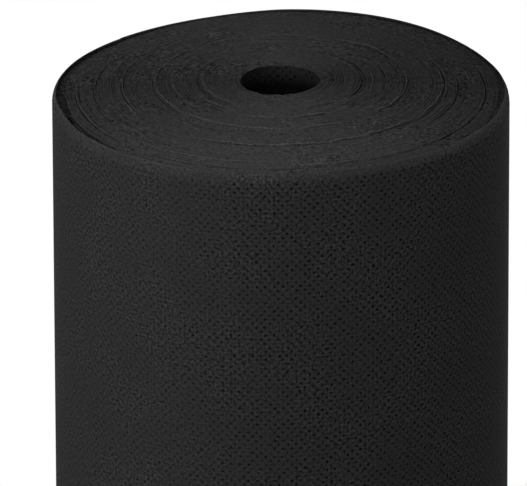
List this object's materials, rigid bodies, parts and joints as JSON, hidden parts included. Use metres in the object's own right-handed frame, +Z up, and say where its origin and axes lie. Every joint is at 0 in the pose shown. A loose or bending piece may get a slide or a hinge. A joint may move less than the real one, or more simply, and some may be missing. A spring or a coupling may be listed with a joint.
{
  "type": "roll of landscape fabric",
  "caption": "Roll of black spunbond landscape fabric wound on a set-back paper core, standing on end, with a taped free end that peels off.",
  "frame": {"origin": "on the roll's axis, at the level that it stands on", "axes": "+Z up along the core's axis; the camera of the picture looks along +Y and down, with +X to its right"},
  "size_m": [0.1885, 0.1892, 0.6086],
  "materials": {
    "core_paper": "matt brown paper tube",
    "start_tape_film": "pale film tape",
    "web_fabric": "black spunbond with a fine embossed diamond pattern",
    "closing_tape_film": "black film tape, half glossy"
  },
  "bodies": {
    "roll": {"core_tube": "core_paper", "start_tape": "start_tape_film", "wound_web": "web_fabric", "outer_turn": "web_fabric"},
    "tail_1": {"tail_leaf_1": "web_fabric"},
    "tail_2": {"tail_leaf_2": "web_fabric"},
    "tail_3": {"tail_leaf_3": "web_fabric", "closing_tape_bottom": "closing_tape_film", "closing_tape_middle": "closing_tape_film", "closing_tape_top": "closing_tape_film"}
  },
  "joints": [
    {"name": "tail_peel_1", "type": "hinge", "parent": "roll", "child": "tail_1", "pos_m": [0.06675, 0.06675, 0.003], "axis": [0, 0, -1], "range_deg": [0, 30]},
    {"name": "tail_peel_2", "type": "hinge", "parent": "tail_1", "child": "tail_2", "pos_m": [0.02446, 0.09128, 0.003], "axis": [0, 0, -1], "range_deg": [0, 30]},
    {"name": "tail_peel_3", "type": "hinge", "parent": "tail_2", "child": "tail_3", "pos_m": [-0.02448, 0.09138, 0.003], "axis": [0, 0, -1], "range_deg": [0, 30]}
  ],
  "couplings": [
    {"joint": "tail_peel_2", "follows": "tail_peel_1", "ratio": 1},
    {"joint": "tail_peel_3", "follows": "tail_peel_1", "ratio": 1}
  ]
}
